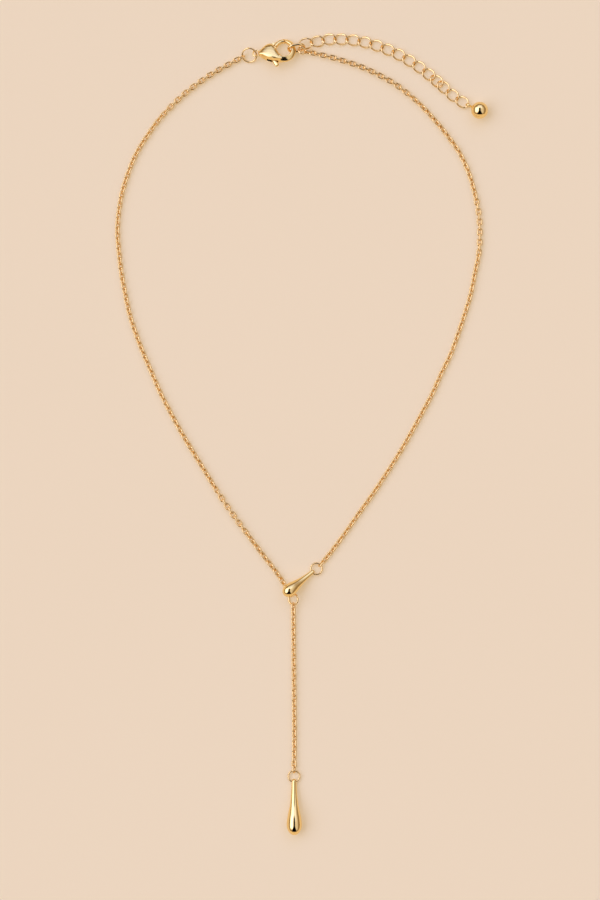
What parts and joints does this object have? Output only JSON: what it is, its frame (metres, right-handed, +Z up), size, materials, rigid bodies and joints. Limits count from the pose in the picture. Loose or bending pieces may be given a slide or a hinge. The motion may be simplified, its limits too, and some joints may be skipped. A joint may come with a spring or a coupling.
{
  "type": "lariat necklace",
  "caption": "Polished gold-coloured lariat necklace: fine cable chain neck loop, lobster clasp, extender chain, a slim drop at the junction and a teardrop on a short chain.",
  "frame": {"origin": "on the table, under the middle of the necklace's bounding box as it lies", "axes": "+Y from the pendant towards the clasp, +X towards the extender's ball, +Z up from the table"},
  "size_m": [0.1118, 0.2401, 0.0053],
  "materials": {
    "polished_gold": "polished"
  },
  "bodies": {
    "necklace": {"clasp_body": "polished_gold", "clasp_ring": "polished_gold", "connector_ring": "polished_gold", "chain_ring": "polished_gold", "extender_link_1": "polished_gold", "extender_link_2": "polished_gold", "extender_link_3": "polished_gold", "extender_link_4": "polished_gold", "extender_link_5": "polished_gold", "extender_link_6": "polished_gold", "extender_link_7": "polished_gold", "extender_link_8": "polished_gold", "extender_link_9": "polished_gold", "extender_link_10": "polished_gold", "extender_link_11": "polished_gold", "extender_link_12": "polished_gold", "extender_link_13": "polished_gold", "extender_link_14": "polished_gold", "extender_link_15": "polished_gold", "extender_link_16": "polished_gold", "extender_ball": "polished_gold", "left_chain": "polished_gold", "right_chain_upper": "polished_gold", "right_chain_lower": "polished_gold", "small_drop_ring": "polished_gold", "small_drop": "polished_gold", "junction_ring": "polished_gold", "drop_chain": "polished_gold", "pendant_ring": "polished_gold", "pendant": "polished_gold"},
    "lever": {"clasp_lever": "polished_gold"}
  },
  "joints": [
    {"name": "lever_hinge", "type": "hinge", "parent": "necklace", "child": "lever", "pos_m": [-0.00894, 0.11524, 0.00148], "axis": [0.0216, -0.3083, -0.951], "range_deg": [0, 20], "stiffness_Nm_per_rad": 0.004, "springref_deg": -14.32}
  ]
}
